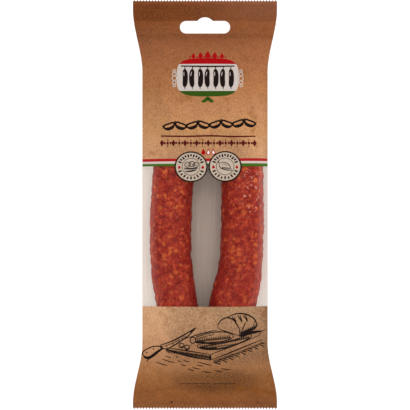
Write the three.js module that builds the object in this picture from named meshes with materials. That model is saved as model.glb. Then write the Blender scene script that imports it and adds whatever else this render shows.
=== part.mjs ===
// A dry-cured sausage, bent like a horseshoe, lying in a flow-wrapped film pack.
// Millimetres, +Z up. The pack lies on its back: X across it, +Y towards the hanging
// header, and the origin on the floor under the middle of the pack.
import * as THREE from 'three';

// ---- driving dimensions -------------------------------------------------------------

const packHalfLength = 130;
const sealHalfWidth = 45.8; // half of the flat tube's width
const bodyHalfWidth = 39.8; // the same tube, drawn in by the sausage
const headerFoot = 105; // where the header seal ends and the body begins
const bottomSealTop = -125;
const headerFlare = [84, 124]; // the tube widens between these places, towards the header
const bottomFlare = [-88, -126]; // and between these, towards the bottom seal
const windowTop = 24.2;
const windowBottom = -64.5;

const filmThickness = 0.3;
const pieceGap = 0.3; // between two pieces that touch
const sealPlate = 2 * filmThickness; // two layers welded together

const toothPitch = 1.9;
const toothDepth = 0.95;

const slot = { y: 112.7, halfWidth: 16, halfHeight: 4, humpRadius: 6.3 }; // the peg hole

const sausageRadius = 13.2;
const filmClearance = 0.6; // room over and under it, which the film's flat facets need
const flatSpread = 0.3; // a little more at the back, so that the film lies flat there
const axisHeight = sausageRadius + filmClearance; // the sausage's axis and both seals
const restHalfWidth = 2.6; // of the strip under each leg that the pack lies on

// The long back seam, folded flat, and the bay in the back film that it lies in.
const fin = { halfWidth: 5.5, thickness: 0.5, rise: 1.1, bayHalfWidth: 7 };
const bendLift = 1.4; // the sausage's bend lies on that seam, a little above the floor
const liftRange = [38, 66]; // where the legs climb towards the bend

// The sausage's axis seen from above, from its left end round the bend to its right end.
const axisPoints = [
  [-14.4, -95], [-18.2, -61], [-20.5, -46], [-22.1, -20], [-20.2, 20], [-18.9, 56],
  [-13.2, 71.5], [1, 78], [15.2, 71.5],
  [21.3, 56], [23.4, 20], [23.7, -20], [21.5, -46], [18.1, -61], [12.6, -96],
];
const legRange = [-90, 58]; // where the two legs run along the pack
const domeLength = 15; // the rounded end of the filling
const neckLength = 6; // the gathered casing that the clip holds
const neckRadius = 1.8;
const tailLength = 5; // the casing that fans out past the clip
const tailRadius = 3.2;

const clip = { width: 3, depth: 7.2, height: 5.6, corner: 1.4, bore: 2.15 };

// ---- helpers ------------------------------------------------------------------------

const { lerp, smoothstep, clamp } = THREE.MathUtils;

function finish(color, roughness, metalness = 0, opacity = 1) {
  return new THREE.MeshStandardMaterial({
    color, roughness, metalness, opacity, transparent: opacity < 1,
  });
}

const finishes = {
  casing: finish(0x98352a, 0.42),
  print: finish(0xb98558, 0.8),
  clearFilm: finish(0xf2ede6, 0.12, 0, 0.25),
  clipMetal: finish(0xc4c6c8, 0.35, 1),
};

function named(name, geometry, material) {
  geometry.deleteAttribute('uv');
  geometry.computeVertexNormals();
  const mesh = new THREE.Mesh(geometry, material);
  mesh.name = name;
  return mesh;
}

// Moves every vertex of a geometry to the place that the function gives for it.
function reshape(geometry, placeOf) {
  const position = geometry.getAttribute('position');
  const uv = geometry.getAttribute('uv');
  const vertex = new THREE.Vector3();
  for (let i = 0; i < position.count; i++) {
    vertex.fromBufferAttribute(position, i);
    const place = placeOf(vertex, uv.getX(i), uv.getY(i));
    position.setXYZ(i, place.x, place.y, place.z);
  }
  return geometry;
}

// ---- sausage ------------------------------------------------------------------------

const axis = new THREE.CatmullRomCurve3(
  axisPoints.map(([x, y]) => {
    const lift = bendLift * smoothstep(y, ...liftRange);
    return new THREE.Vector3(x, y, axisHeight + lift);
  }),
  false,
  'centripetal',
);
axis.arcLengthDivisions = 800;
const axisLength = axis.getLength();
const endLength = domeLength + neckLength + tailLength;

// The stretch of axis before each end is carried on straight, for the neck and the tail.
function axisFrame(distance) {
  const inside = clamp(distance, 0, axisLength);
  const tangent = axis.getTangentAt(inside / axisLength);
  const centre = axis.getPointAt(inside / axisLength).addScaledVector(tangent, distance - inside);
  const across = new THREE.Vector3(tangent.y, -tangent.x, 0).normalize();
  return { centre, across, up: new THREE.Vector3().crossVectors(across, tangent) };
}

const firstPlace = -(neckLength + tailLength);
const lastPlace = axisLength + neckLength + tailLength;

// Seen from above the right leg is broader than the left one, most of all near the window's
// foot: how many times as broad as it is deep the stick is, at a point of its axis.
function breadthAt({ x, y }) {
  const foot = smoothstep(-y, 24, 64) * smoothstep(y, -92, -72);
  return 1 + smoothstep(x, 0, 16) * (0.03 + 0.09 * foot);
}

// Radius of the stick at a distance from its nearer tip: the tail opens from the clip,
// the neck is straight, the dome swells like a quarter ellipse and the rest is a tube.
function stickRadius(fromTip) {
  if (fromTip < tailLength) return lerp(tailRadius, neckRadius, fromTip / tailLength);
  const intoDome = fromTip - tailLength - neckLength;
  if (intoDome < 0) return neckRadius;
  const rise = Math.min(intoDome / domeLength, 1);
  return Math.max(neckRadius, sausageRadius * Math.sqrt(1 - (1 - rise) ** 2));
}

// Places along the stick: close together where the radius changes, further apart between.
function stickPlaces() {
  const tipSteps = [0, 0.02, 2.5, 5, 8, 11, 11.3, 12.2, 13.8, 16, 19, 22.5, 26];
  const bodyStart = firstPlace + endLength;
  const bodySteps = 38;
  const body = [];
  for (let i = 1; i < bodySteps; i++) {
    body.push(lerp(bodyStart, lastPlace - endLength, i / bodySteps));
  }
  const start = tipSteps.map((step) => firstPlace + step);
  const end = tipSteps.map((step) => lastPlace - step).reverse();
  return [...start, ...body, ...end];
}

function makeSausage() {
  const places = stickPlaces();
  const sides = 18;
  const rings = places.length - 1;
  const geometry = new THREE.SphereGeometry(1, sides, rings);
  return reshape(geometry, (vertex, u, v) => {
    const place = places[Math.round((1 - v) * rings)];
    const fromTip = Math.min(place - firstPlace, lastPlace - place);
    const radius = fromTip === 0 ? 0 : stickRadius(fromTip);
    const { centre, across, up } = axisFrame(place);
    const angle = u * 2 * Math.PI;
    const halfBreadth = radius * breadthAt(centre);
    return centre
      .addScaledVector(across, halfBreadth * Math.cos(angle))
      .addScaledVector(up, radius * Math.sin(angle));
  });
}

// An oval band round the gathered casing, with a round bore that the neck passes through.
function makeClip(distance) {
  const { depth, height, corner, bore, width } = clip;
  const outline = new THREE.Shape();
  const x = depth / 2 - corner;
  const y = height / 2 - corner;
  outline.absarc(x, y, corner, 0, Math.PI / 2);
  outline.absarc(-x, y, corner, Math.PI / 2, Math.PI);
  outline.absarc(-x, -y, corner, Math.PI, 1.5 * Math.PI);
  outline.absarc(x, -y, corner, 1.5 * Math.PI, 2 * Math.PI);
  outline.holes.push(new THREE.Path().absarc(0, 0, bore, 0, 2 * Math.PI, true));
  const geometry = new THREE.ExtrudeGeometry(outline, {
    depth: width, bevelEnabled: false, curveSegments: 5,
  });
  geometry.translate(0, 0, -width / 2);
  const { centre, across, up } = axisFrame(distance);
  const along = new THREE.Vector3().crossVectors(across, up);
  geometry.applyMatrix4(new THREE.Matrix4().makeBasis(across, up, along).setPosition(centre));
  return geometry;
}

// ---- film ---------------------------------------------------------------------------

function halfWidthAt(y) {
  const flare = y > 0
    ? smoothstep(y, ...headerFlare)
    : smoothstep(-y, -bottomFlare[0], -bottomFlare[1]);
  return lerp(bodyHalfWidth, sealHalfWidth, flare);
}

const axisSamples = axis.getSpacedPoints(300);

// How far a tube of the given radius round the sausage's axis, as broad for its depth as
// the sausage, reaches from the plane of the creases, towards the front (side 1) or the
// back (side -1).
function reachAt(side, x, y, radius) {
  let reach = -Infinity;
  for (const point of axisSamples) {
    const offAxis = Math.hypot(point.x - x, point.y - y) / breadthAt(point);
    const inside = radius ** 2 - offAxis ** 2;
    if (inside > 0) {
      reach = Math.max(reach, side * (point.z - axisHeight) + Math.sqrt(inside));
    }
  }
  return reach;
}

// A film stretched like a drumskin from the side creases and the end seals over what lies
// inside it: every free point settles at the mean of its neighbours, and each is held
// between the lowest and the highest place that it is given.
const columns = 56;
const rows = 115;
const sweeps = 500;
const overshoot = 1.8; // each sweep moves a point by this much of its distance to the mean

function settle(lowestAt, highestAt) {
  const edge = pieceGap / 2;
  const placeOf = (i, j) => {
    const y = lerp(bottomSealTop, headerFoot, j / rows);
    return [(2 * i / columns - 1) * halfWidthAt(y), y];
  };
  const height = [];
  const low = [];
  const high = [];
  for (let j = 0; j <= rows; j++) {
    for (let i = 0; i <= columns; i++) {
      const [x, y] = placeOf(i, j);
      low.push(lowestAt(x, y));
      high.push(highestAt(x, y));
      height.push(Math.max(edge, low.at(-1)));
    }
  }
  const acrossWeight = (columns / (2 * bodyHalfWidth)) ** 2;
  const alongWeight = (rows / (headerFoot - bottomSealTop)) ** 2;
  for (let sweep = 0; sweep < sweeps; sweep++) {
    for (let j = 1; j < rows; j++) {
      for (let i = 1; i < columns; i++) {
        const k = j * (columns + 1) + i;
        const mean = (acrossWeight * (height[k - 1] + height[k + 1])
          + alongWeight * (height[k - columns - 1] + height[k + columns + 1]))
          / (2 * (acrossWeight + alongWeight));
        const moved = height[k] + overshoot * (mean - height[k]);
        height[k] = Math.min(Math.max(moved, low[k]), high[k]);
      }
    }
  }
  // Height at a share of the half width, from -1 to 1, and a place along the pack.
  return (share, y) => {
    const i = clamp((share + 1) / 2 * columns, 0, columns - 1e-6);
    const j = clamp((y - bottomSealTop) / (headerFoot - bottomSealTop) * rows, 0, rows - 1e-6);
    const k = Math.floor(j) * (columns + 1) + Math.floor(i);
    const [a, b] = [i % 1, j % 1];
    return lerp(
      lerp(height[k], height[k + 1], a),
      lerp(height[k + columns + 1], height[k + columns + 2], a),
      b,
    );
  };
}

const frontHeight = settle(
  (x, y) => reachAt(1, x, y, sausageRadius + filmClearance),
  () => Infinity,
);

// The back film's depth under the creases. The floor stops it, and the seam lifts it.
const floorDepth = axisHeight - filmThickness;
const backRadius = sausageRadius + filmClearance + flatSpread;
const backDepth = settle(
  (x, y) => Math.min(reachAt(-1, x, y, backRadius), floorDepth),
  (x) => (Math.abs(x) < fin.bayHalfWidth ? floorDepth - fin.rise : floorDepth),
);

// A point of a film skin: side is 1 for the front and -1 for the back, and out is how far
// the point stands off the skin's inner face.
function skinPoint(side, x, y, out) {
  const heightOf = side > 0 ? frontHeight : backDepth;
  const step = 0.6;
  const halfWidth = halfWidthAt(y);
  const share = x / halfWidth;
  const shareStep = step / halfWidth;
  const left = Math.max(share - shareStep, -1);
  const right = Math.min(share + shareStep, 1);
  const slopeX = (heightOf(right, y) - heightOf(left, y)) / ((right - left) * halfWidth);
  const slopeY = (heightOf(share, Math.min(y + step, headerFoot))
    - heightOf(share, Math.max(y - step, bottomSealTop))) / (2 * step);
  const normal = new THREE.Vector3(-slopeX, -slopeY, 1).normalize();
  return new THREE.Vector3(
    x + normal.x * out,
    y + normal.y * out,
    axisHeight + side * (heightOf(share, y) + normal.z * out),
  );
}

// A sheet of film with its columns and places along the pack given: a box of one cell in
// thickness, wrapped on to the skin.
function makeSheet(side, columnsAt, places, [inner, outer]) {
  const grid = places.map(columnsAt);
  const columnCount = grid[0].length - 1;
  const rowCount = places.length - 1;
  const geometry = new THREE.BoxGeometry(1, 1, 1, columnCount, rowCount, 1);
  return reshape(geometry, (vertex) => {
    const row = Math.round((vertex.y + 0.5) * rowCount);
    const column = Math.round((vertex.x + 0.5) * columnCount);
    const y = places[row];
    const out = vertex.z * side > 0 ? outer : inner;
    const point = skinPoint(side, grid[row][column], y, out);
    point.y = y; // the sheet's cut ends stay square to the pack
    point.z = Math.max(point.z, 0);
    return point;
  });
}

function evenPlaces(from, to, count) {
  return Array.from({ length: count + 1 }, (_, i) => lerp(from, to, i / count));
}

const skin = [0, filmThickness];
const bodyTop = headerFoot - pieceGap;
const bodyBottom = bottomSealTop + pieceGap;
const halfGap = pieceGap / 2;
const backPlaces = [
  ...evenPlaces(bodyBottom, -62, 11),
  ...evenPlaces(-62, 58, 9).slice(1),
  ...evenPlaces(58, bodyTop, 8).slice(1),
];

const frontColumns = 24;

function makeFront(from, to, count) {
  const columnsAt = (y) => evenPlaces(-halfWidthAt(y), halfWidthAt(y), frontColumns);
  return makeSheet(1, columnsAt, evenPlaces(from, to, count), skin);
}

// Where the sausage's two legs cross the pack at y, held to where they run along it.
function legsAt(y) {
  const held = clamp(y, ...legRange);
  const middle = axisSamples.length / 2;
  return [axisSamples.slice(0, middle), axisSamples.slice(middle)].map((leg) => {
    const nearest = leg.map((point) => Math.abs(point.y - held));
    return leg[nearest.indexOf(Math.min(...nearest))].x;
  });
}

const seamColumns = evenPlaces(-fin.halfWidth, fin.halfWidth, 3);

// The back's columns follow the creases, the two strips it rests on and the seam.
function makeBack() {
  const columnsAt = (y) => {
    const [left, right] = legsAt(y);
    return [
      ...evenPlaces(-halfWidthAt(y), left - restHalfWidth, 6),
      ...evenPlaces(left + restHalfWidth, -fin.bayHalfWidth, 3),
      ...seamColumns,
      ...evenPlaces(fin.bayHalfWidth, right - restHalfWidth, 3),
      ...evenPlaces(right + restHalfWidth, halfWidthAt(y), 6),
    ];
  };
  return makeSheet(-1, columnsAt, backPlaces, skin);
}

function makeFin() {
  const start = filmThickness + pieceGap;
  return makeSheet(-1, () => seamColumns, backPlaces, [start, start + fin.thickness]);
}

// ---- seals --------------------------------------------------------------------------

// A sawn edge from one side to the other at the given height, with its tips at tipY.
function sawTeeth(outline, fromX, toX, tipY, rootY) {
  const count = Math.round(Math.abs(toX - fromX) / toothPitch);
  for (let i = 0; i < count; i++) {
    outline.lineTo(lerp(fromX, toX, (i + 0.5) / count), tipY);
    outline.lineTo(lerp(fromX, toX, (i + 1) / count), rootY);
  }
}

function sideEdge(outline, side, fromY, toY, steps) {
  for (let i = 1; i <= steps; i++) {
    const y = lerp(fromY, toY, i / steps);
    outline.lineTo(side * halfWidthAt(y), y);
  }
}

function pegSlot() {
  const { y, halfWidth, halfHeight, humpRadius } = slot;
  const end = halfWidth - halfHeight;
  const humpHalf = Math.sqrt(humpRadius ** 2 - halfHeight ** 2);
  const humpAngle = Math.atan2(halfHeight, humpHalf);
  const hole = new THREE.Path();
  hole.absarc(-end, y, halfHeight, -Math.PI / 2, Math.PI / 2, true);
  hole.absarc(0, y, humpRadius, Math.PI - humpAngle, humpAngle, true);
  hole.absarc(end, y, halfHeight, Math.PI / 2, -Math.PI / 2, true);
  hole.closePath();
  return hole;
}

function extrudeSeal(outline) {
  const geometry = new THREE.ExtrudeGeometry(outline, {
    depth: sealPlate, bevelEnabled: false, curveSegments: 8,
  });
  geometry.translate(0, 0, axisHeight - sealPlate / 2);
  return geometry;
}

function makeHeader() {
  const root = packHalfLength - toothDepth;
  const foot = halfWidthAt(headerFoot);
  const outline = new THREE.Shape();
  outline.moveTo(-foot, headerFoot);
  outline.lineTo(foot, headerFoot);
  sideEdge(outline, 1, headerFoot, root, 8);
  sawTeeth(outline, sealHalfWidth, -sealHalfWidth, packHalfLength, root);
  sideEdge(outline, -1, root, headerFoot, 8);
  outline.holes.push(pegSlot());
  return extrudeSeal(outline);
}

function makeBottomSeal() {
  const root = -packHalfLength + toothDepth;
  const top = halfWidthAt(bottomSealTop);
  const outline = new THREE.Shape();
  outline.moveTo(top, bottomSealTop);
  outline.lineTo(-top, bottomSealTop);
  sideEdge(outline, -1, bottomSealTop, root, 3);
  sawTeeth(outline, -sealHalfWidth, sealHalfWidth, -packHalfLength, root);
  sideEdge(outline, 1, root, bottomSealTop, 3);
  return extrudeSeal(outline);
}

// ---- assembly -----------------------------------------------------------------------

const { casing, print, clearFilm, clipMetal } = finishes;
const clipPlace = neckLength / 2;

const sausagePack = new THREE.Group();
sausagePack.add(
  named('sausage', makeSausage(), casing),
  named('left_end_clip', makeClip(-clipPlace), clipMetal),
  named('right_end_clip', makeClip(axisLength + clipPlace), clipMetal),
  named('upper_wrap', makeFront(windowTop + halfGap, bodyTop, 15), print),
  named('window_film', makeFront(windowBottom + halfGap, windowTop - halfGap, 12), clearFilm),
  named('lower_wrap', makeFront(bodyBottom, windowBottom - halfGap, 11), print),
  named('back_wrap', makeBack(), print),
  named('back_fin_seal', makeFin(), print),
  named('header_seal', makeHeader(), print),
  named('bottom_seal', makeBottomSeal(), print),
);

export default sausagePack;
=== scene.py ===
# A dry-cured sausage bent like a horseshoe, in its flow-wrapped pack of printed film.
# Metres, +Z up: X across the pack, Y along it, and the pack lies on the floor at z = 0.
import math

import bmesh
import bpy
import numpy as np
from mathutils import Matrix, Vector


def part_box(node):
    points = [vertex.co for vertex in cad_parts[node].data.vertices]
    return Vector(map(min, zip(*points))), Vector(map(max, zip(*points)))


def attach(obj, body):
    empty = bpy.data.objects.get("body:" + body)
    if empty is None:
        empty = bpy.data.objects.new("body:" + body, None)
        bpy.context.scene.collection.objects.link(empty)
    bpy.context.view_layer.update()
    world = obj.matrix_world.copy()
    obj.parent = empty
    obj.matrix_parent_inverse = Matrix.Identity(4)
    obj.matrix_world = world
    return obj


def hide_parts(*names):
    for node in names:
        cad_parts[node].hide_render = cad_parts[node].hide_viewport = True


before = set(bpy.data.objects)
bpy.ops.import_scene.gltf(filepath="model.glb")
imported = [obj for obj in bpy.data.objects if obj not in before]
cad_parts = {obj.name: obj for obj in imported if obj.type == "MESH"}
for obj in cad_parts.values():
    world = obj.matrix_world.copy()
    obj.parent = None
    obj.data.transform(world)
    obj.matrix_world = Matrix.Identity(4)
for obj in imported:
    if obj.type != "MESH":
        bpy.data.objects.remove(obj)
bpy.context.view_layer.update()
mm = 0.001
print("frame loaded:", len(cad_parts), "nodes")

# places that the frame gives
headerLow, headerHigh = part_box("header_seal")
bottomLow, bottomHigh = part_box("bottom_seal")
headerFoot, topEdge, sealHalf = headerLow.y, headerHigh.y, headerHigh.x
bottomEdge, bottomTop = bottomLow.y, bottomHigh.y
midHeight = (headerLow.z + headerHigh.z) / 2  # the side creases and both seals
windowTop = (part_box("window_film")[1].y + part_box("upper_wrap")[0].y) / 2
windowBottom = (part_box("window_film")[0].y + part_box("lower_wrap")[1].y) / 2


def smoothStep(x, a, b):
    # 0 before a, 1 after b, and the cubic 3t^2 - 2t^3 between
    t = np.clip((x - a) / (b - a), 0, 1)
    return t * t * (3 - 2 * t)


def bell(x, centre, width):
    # 1 at the centre, elsewhere e to the minus square of the distance in widths
    return np.exp(-(((x - centre) / width) ** 2))


def unit(v):
    # each vector divided by its own length
    return v / np.maximum(np.linalg.norm(v, axis=-1, keepdims=True), 1e-12)


def smoothLine(points, count, closed=False):
    # a line through the points: between two of them a cubic whose end slopes come from
    # the neighbours, each weighted by the square root of its distance, then spaced evenly
    given = np.asarray(points, float)
    before, after = 2 * given[:1] - given[1:2], 2 * given[-1:] - given[-2:-1]
    if closed:
        before, after = given[-1:], given[:2]
    known = np.vstack([before, given, after])
    place = np.linspace(0, len(known) - 3, 40 * (len(known) - 3) + 1)
    low = np.minimum(place.astype(int), len(known) - 4)
    part = (place - low)[:, None]
    a, b, c, d = [known[low + k] for k in range(4)]
    gap = np.sqrt(np.linalg.norm(np.diff(known, axis=0), axis=1))[:, None]
    g0, g1, g2 = [gap[low + k] for k in range(3)]
    start = ((b - a) / g0 - (c - a) / (g0 + g1) + (c - b) / g1) * g1
    end = ((c - b) / g1 - (d - b) / (g1 + g2) + (d - c) / g2) * g1
    fine = b + start * part + (3 * (c - b) - 2 * start - end) * part**2
    fine = fine + (2 * (b - c) + start + end) * part**3
    run = np.r_[0, np.cumsum(np.linalg.norm(np.diff(fine, axis=0), axis=1))]
    even = np.linspace(0, run[-1], count)
    return np.stack([np.interp(even, run, column) for column in fine.T], 1)


def lattice(corner, seed):
    # a repeatable number from 0 to 1 for each whole-numbered corner of space
    x, y, z = np.moveaxis(corner.astype(np.int64), -1, 0)
    mixed = x * 374761393 + y * 668265263 + z * 1274126177 + seed * 97531
    for shift, factor in ((13, 1103515245), (15, 12345677)):
        mixed = ((mixed ^ (mixed >> shift)) * factor) & 0x7FFFFFFF
    return (mixed & 0xFFFFFF) / 0xFFFFFF


def softNoise(points, size, seed):
    # from -1 to 1: the eight corners round a point, mixed by the cubic of its place between
    low = np.floor(points / size)
    part = points / size - low
    part = part * part * (3 - 2 * part)
    total = 0
    for k in range(8):
        step = np.array([k & 1, (k >> 1) & 1, k >> 2])
        weight = np.prod(np.where(step == 1, part, 1 - part), axis=-1)
        total = total + weight * lattice(low + step, seed)
    return total * 2 - 1


def grainNoise(points, size, seed):
    # distance, in sizes, to the nearest of the points scattered one to each cell of space
    low = np.floor(points / size)
    nearest = np.full(points.shape[:-1], 9.0)
    for k in range(27):
        cell = low + np.array([k % 3, k // 3 % 3, k // 9]) - 1
        scatter = np.stack([lattice(cell, seed + n) for n in range(3)], -1)
        away = np.linalg.norm(cell + scatter - points / size, axis=-1)
        nearest = np.minimum(nearest, away)
    return nearest


def splineWeights(part):
    # the cubic B-spline's shares of four neighbours, for a place part of the way along
    rest = 1 - part
    return [rest**3 / 6, (3 * part**3 - 6 * part**2 + 4) / 6,
            (3 * rest**3 - 6 * rest**2 + 4) / 6, part**3 / 6]


def sampleSoft(grid, row, column):
    # smooth height between grid points: the sixteen nearest, by their spline weights
    padded = np.pad(grid, 2, mode="reflect", reflect_type="odd")
    row = np.clip(row, 0, grid.shape[0] - 1)
    column = np.clip(column, 0, grid.shape[1] - 1)
    i = np.minimum(np.floor(row).astype(int), grid.shape[0] - 2)
    j = np.minimum(np.floor(column).astype(int), grid.shape[1] - 2)
    total = 0
    for a, rowWeight in enumerate(splineWeights(row - i)):
        for b, columnWeight in enumerate(splineWeights(column - j)):
            total = total + rowWeight * columnWeight * padded[i + a + 1, j + b + 1]
    return total


def closedSheet(outer, thickness):
    # a grid of points, the same grid moved inwards along its normals, and a rim round
    # both; it returns points, faces and the number of each face's material
    across, along = np.gradient(outer, axis=1), np.gradient(outer, axis=0)
    inner = outer - unit(np.cross(across, along)) * thickness
    rows, columns = outer.shape[:2]
    at = np.arange(rows * columns).reshape(rows, columns)
    a, b, c, d = at[:-1, :-1], at[:-1, 1:], at[1:, 1:], at[1:, :-1]
    top = np.stack([a, b, c, d], -1).reshape(-1, 4)
    under = np.stack([a, d, c, b], -1).reshape(-1, 4) + rows * columns
    edge = np.concatenate([at[0], at[1:, -1], at[-1, -2::-1], at[-2::-1, 0]])
    below = edge + rows * columns
    rim = np.stack([edge[:-1], below[:-1], below[1:], edge[1:]], -1)
    points = np.concatenate([outer.reshape(-1, 3), inner.reshape(-1, 3)])
    side = np.repeat([0, 1, 0], [len(top), len(under), len(rim)])
    return points, np.concatenate([top, under, rim]), side


def closedTube(rings):
    # rings of points joined one to the next, with a point in the middle of each end ring
    count, around = rings.shape[:2]
    at = np.arange(count * around).reshape(count, around)
    after = np.roll(at, -1, 1)
    quads = np.stack([at[1:], after[1:], after[:-1], at[:-1]], -1).reshape(-1, 4).tolist()
    first, last = count * around, count * around + 1
    ends = [[first, x, y] for x, y in zip(at[0].tolist(), after[0].tolist())]
    ends += [[last, y, x] for x, y in zip(at[-1].tolist(), after[-1].tolist())]
    points = np.concatenate([rings.reshape(-1, 3), [rings[0].mean(0), rings[-1].mean(0)]])
    return points, quads + ends, np.zeros(len(quads) + len(ends), int)


def shadeSmooth(mesh, sharp):
    # smooth, but for edges sharper than an angle in degrees
    mesh.polygons.foreach_set("use_smooth", np.ones(len(mesh.polygons), bool))
    mesh.set_sharp_from_angle(angle=math.radians(sharp))


def addPiece(name, solid, materials, slot, node=None, sharp=40):
    # a mesh from a solid's points, faces and sides, in place of a node of the frame
    points, faces, side = solid
    mesh = bpy.data.meshes.new(name)
    mesh.from_pydata(points, [], faces)
    for material in materials:
        mesh.materials.append(material)
    if len(materials) > 1:
        mesh.polygons.foreach_set("material_index", side)
    shadeSmooth(mesh, sharp)
    mesh.update()
    piece = bpy.data.objects.new(name, mesh)
    bpy.context.scene.collection.objects.link(piece)
    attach(piece, "root")
    if node:
        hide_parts(node)
    return piece


def addNumbers(piece, name, numbers):
    # one number for each point, for the piece's material to read
    piece.data.attributes.new(name, "FLOAT", "POINT").data.foreach_set("value", numbers)


class Wire:
    # a socket that takes part in arithmetic: each operator adds its Math node
    def __init__(self, tree, socket=None):
        self.tree = tree
        self.socket = socket

    def node(self, kind, settings=None, inputs=None, out=0):
        # a new node, with its own settings and with numbers or wires at its inputs
        made = self.tree.nodes.new("ShaderNode" + kind)
        for key, value in (settings or {}).items():
            if key == "stops":
                fillRamp(made.color_ramp, value)
            else:
                setattr(made, key, value)
        for key, value in (inputs or {}).items():
            if isinstance(value, Wire):
                self.tree.links.new(value.socket, made.inputs[key])
            else:
                made.inputs[key].default_value = value
        return Wire(self.tree, made.outputs[out])

    def math(self, operation, a, b=0.0):
        return self.node("Math", {"operation": operation}, {0: a, 1: b})

    def __add__(self, other):
        return self.math("ADD", self, other)

    def __sub__(self, other):
        return self.math("SUBTRACT", self, other)

    def __rsub__(self, other):
        return self.math("SUBTRACT", other, self)

    def __mul__(self, other):
        return self.math("MULTIPLY", self, other)

    __radd__ = __add__
    __rmul__ = __mul__

    def ease(self, a, b):
        # 0 at a, 1 at b, smooth between
        return self.node("MapRange", {"interpolation_type": "SMOOTHSTEP"},
                         {"Value": self, "From Min": a, "From Max": b})

    def band(self, low, high, soft):
        # 1 between low and high
        return self.ease(low - soft, low + soft) * (1 - self.ease(high - soft, high + soft))

    def clamp(self):
        return self.node("Clamp", {}, {"Value": self})

    def tint(self, a, b, factor):
        # colour a at factor 0, colour b at factor 1
        return self.node("Mix", {"data_type": "RGBA"}, {0: factor, 6: a, 7: b}, out=2)

    def scaled(self, vector, factor):
        return self.node("VectorMath", {"operation": "SCALE"}, {0: vector, "Scale": factor})

    def place(self):
        # the piece's own coordinates
        return self.node("TexCoord", out="Object")

    def noise(self, place, size, detail, rough, out=0):
        # size is that of one blotch, in metres
        return self.node("TexNoise", {}, {"Vector": place, "Scale": 1 / size, "Detail": detail,
                                          "Roughness": rough}, out)

    def stretched(self, place, scale, turn=0.0):
        # a place for patterns that are drawn out along an axis and turned about +Z
        return self.node("Mapping", {}, {"Vector": place, "Rotation": (0, 0, turn), "Scale": scale})

    def cells(self, place, size):
        # distance, in sizes, to the nearest scattered point, and a random number for its cell
        inputs = {"Vector": place, "Scale": 1 / size}
        own = self.node("TexVoronoi", {}, inputs, out=1)
        return self.node("TexVoronoi", {}, inputs), self.node("SeparateColor", {}, {"Color": own})

    def relief(self, strength, distance, height):
        # a normal tilted by how the height changes
        return self.node("Bump", {}, {"Strength": strength, "Distance": distance,
                                      "Height": height})

    def awayFrom(self, x, y, centre, radii):
        # square of the distance from a centre, measured in radii
        offX, offY = (x - centre[0]) * (1 / radii[0]), (y - centre[1]) * (1 / radii[1])
        return offX * offX + offY * offY


def fillRamp(ramp, stops):
    # stops are places from 0 to 1, each with its colour
    while len(ramp.elements) < len(stops):
        ramp.elements.new(0.5)
    for element, (place, colour) in zip(ramp.elements, stops):
        element.position = place
        element.color = colour


def paint(red, green, blue):
    # a colour from 0 to 255, as it looks, to the linear numbers that shaders use
    share = np.array([red, green, blue]) / 255
    linear = np.where(share <= 0.04045, share / 12.92, ((share + 0.055) / 1.055) ** 2.4)
    return (*linear.tolist(), 1.0)


def newMaterial(name):
    # an empty material, and a wire to build its nodes with
    material = bpy.data.materials.new(name)
    material.use_nodes = True
    material.node_tree.nodes.clear()
    return material, Wire(material.node_tree)


def finishMaterial(material, shader):
    # the shader is joined to the material's output
    output = shader.tree.nodes.new("ShaderNodeOutputMaterial")
    shader.tree.links.new(shader.socket, output.inputs["Surface"])
    return material


def principled(material, wire, inputs):
    # a material of one Principled shader
    return finishMaterial(material, wire.node("BsdfPrincipled", {}, inputs))


def parts(wire, vector):
    # a vector's x, y and z
    split = wire.tree.nodes.new("ShaderNodeSeparateXYZ")
    wire.tree.links.new(vector.socket, split.inputs[0])
    return [Wire(wire.tree, out) for out in split.outputs]


kraft = {
    "stops": [  # place along the pack in mm, and the print's colour there
        (-130, (146, 93, 57)), (-125, (140, 85, 47)), (-119, (139, 84, 44)),
        (-109, (151, 98, 57)), (-99, (168, 118, 80)), (-84, (194, 145, 107)),
        (-65, (204, 158, 118)), (34, (202, 149, 107)), (47, (197, 142, 94)),
        (60, (188, 131, 88)), (73, (176, 117, 72)), (86, (163, 104, 66)),
        (97, (155, 96, 60)), (107, (139, 83, 50)), (118, (134, 74, 36)), (130, (130, 71, 37)),
    ],
    "stripes": [  # from and to above the window in mm, and the colour
        (-2.0, 1.5, (64, 104, 24)), (1.5, 2.95, (208, 192, 182)), (2.95, 4.7, (172, 26, 30)),
    ],
    "stripeSlope": 0.006,
    "grain": 0.75 * mm,
    "fleckSize": 1.3 * mm,
    "slant": 24.0,  # brighter at the right above, at the left below
    "footSlant": 120.0,
    "paintedShade": [  # painted shade, in mm: x from, to and softness, y from, to and softness; and how much darker
        (-26, 26, 6, 20, 43, 9, 0.21),  # painted shade in the middle above the window
        (-22, 45, 5, -99, -50, 5, 0.29),  # painted shade in the middle below it
    ],
    # painted shade along the right edge, where the film turns away
    "edgeShade": 0.14,
    # painted shade in the dip of the film below the ends of the legs
    "hollowShade": {"centre": (6 * mm, -112 * mm), "radii": (36 * mm, 10 * mm), "depth": 0.36},
    "veil": (170, 122, 98),  # greyer and lighter at the header's right
    "fleck": (84, 46, 22),
    "stain": (134, 76, 22),
}


def kraftPaintedShade(wire, x, y):
    # painted shade: how much darker the print is made in two patches, along its right edge and in a dip
    paintedShade = x.ease(0.0355, 0.0395) * y.band(-0.095, 0.085, 0.01) * kraft["edgeShade"]
    for *sides, amount in kraft["paintedShade"]:
        xLow, xHigh, xSoft, yLow, yHigh, ySoft = [side * mm for side in sides]
        paintedShade += x.band(xLow, xHigh, xSoft) * y.band(yLow, yHigh, ySoft) * amount
    hollowShade = kraft["hollowShade"]
    away = wire.awayFrom(x, y, hollowShade["centre"], hollowShade["radii"])
    return paintedShade + (1 - away.ease(0.0, 1.0)) * hollowShade["depth"]


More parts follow.
